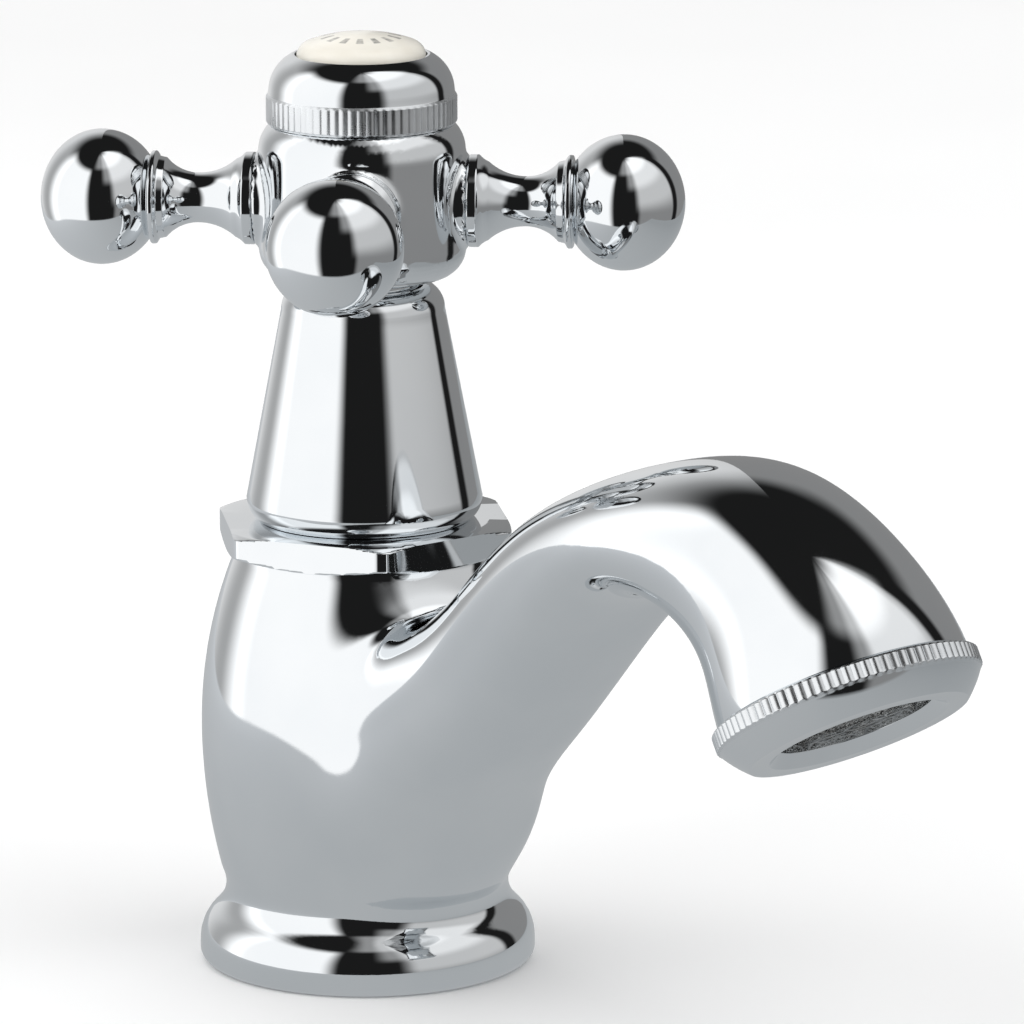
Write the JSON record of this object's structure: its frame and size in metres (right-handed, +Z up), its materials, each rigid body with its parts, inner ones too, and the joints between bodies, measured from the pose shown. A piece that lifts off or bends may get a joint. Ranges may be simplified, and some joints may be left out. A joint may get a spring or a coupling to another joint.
{
  "type": "basin pillar tap",
  "caption": "Chrome basin tap with a cross handle on a tapered shroud, a hexagonal collar and a curved spout ending in a knurled aerator ring.",
  "frame": {"origin": "centre of the inlet's mouth in the underside of the base flange, on the barrel's axis", "axes": "+Z up along the barrel, -Y along the spout, +X to the right seen from the front of the spout"},
  "size_m": [0.07, 0.153, 0.1283],
  "materials": {
    "chrome_plate": "bright polished chrome plate on brass",
    "brass": "turned, unplated",
    "black_rubber": "moulded, satin",
    "valve_ceramic": "lapped alumina",
    "ivory_glaze": "glossy ivory glaze",
    "stainless": "bright stainless steel",
    "white_plastic": "moulded acetal",
    "red_fibre": "pressed fibre"
  },
  "bodies": {
    "tap": {"tap_body": "chrome_plate", "base_seal": "black_rubber", "headwork_body": "brass", "headwork_gasket": "red_fibre", "disc_seal": "black_rubber", "fixed_disc": "valve_ceramic", "thrust_washer": "white_plastic", "shroud": "chrome_plate", "shroud_seal": "black_rubber", "aerator_ring": "chrome_plate", "aerator_screen": "stainless", "aerator_insert": "white_plastic", "flow_disc": "white_plastic", "outlet_washer": "black_rubber"},
    "handle": {"handle_hub": "chrome_plate", "arm_front_right": "chrome_plate", "arm_back_right": "chrome_plate", "arm_back_left": "chrome_plate", "arm_front_left": "chrome_plate", "cap_ring": "chrome_plate", "index_disc": "ivory_glaze", "index_seal": "black_rubber", "spindle": "brass", "lower_spindle_seal": "black_rubber", "upper_spindle_seal": "black_rubber", "spindle_clip": "stainless", "spindle_extension": "brass", "spline_bush": "white_plastic", "handle_screw": "stainless", "screw_washer": "stainless", "moving_disc": "valve_ceramic"}
  },
  "joints": [
    {"name": "handle_turn", "type": "hinge", "parent": "tap", "child": "handle", "pos_m": [0, 0, 0.1055], "axis": [0, 0, 1], "range_deg": [0, 90]}
  ]
}
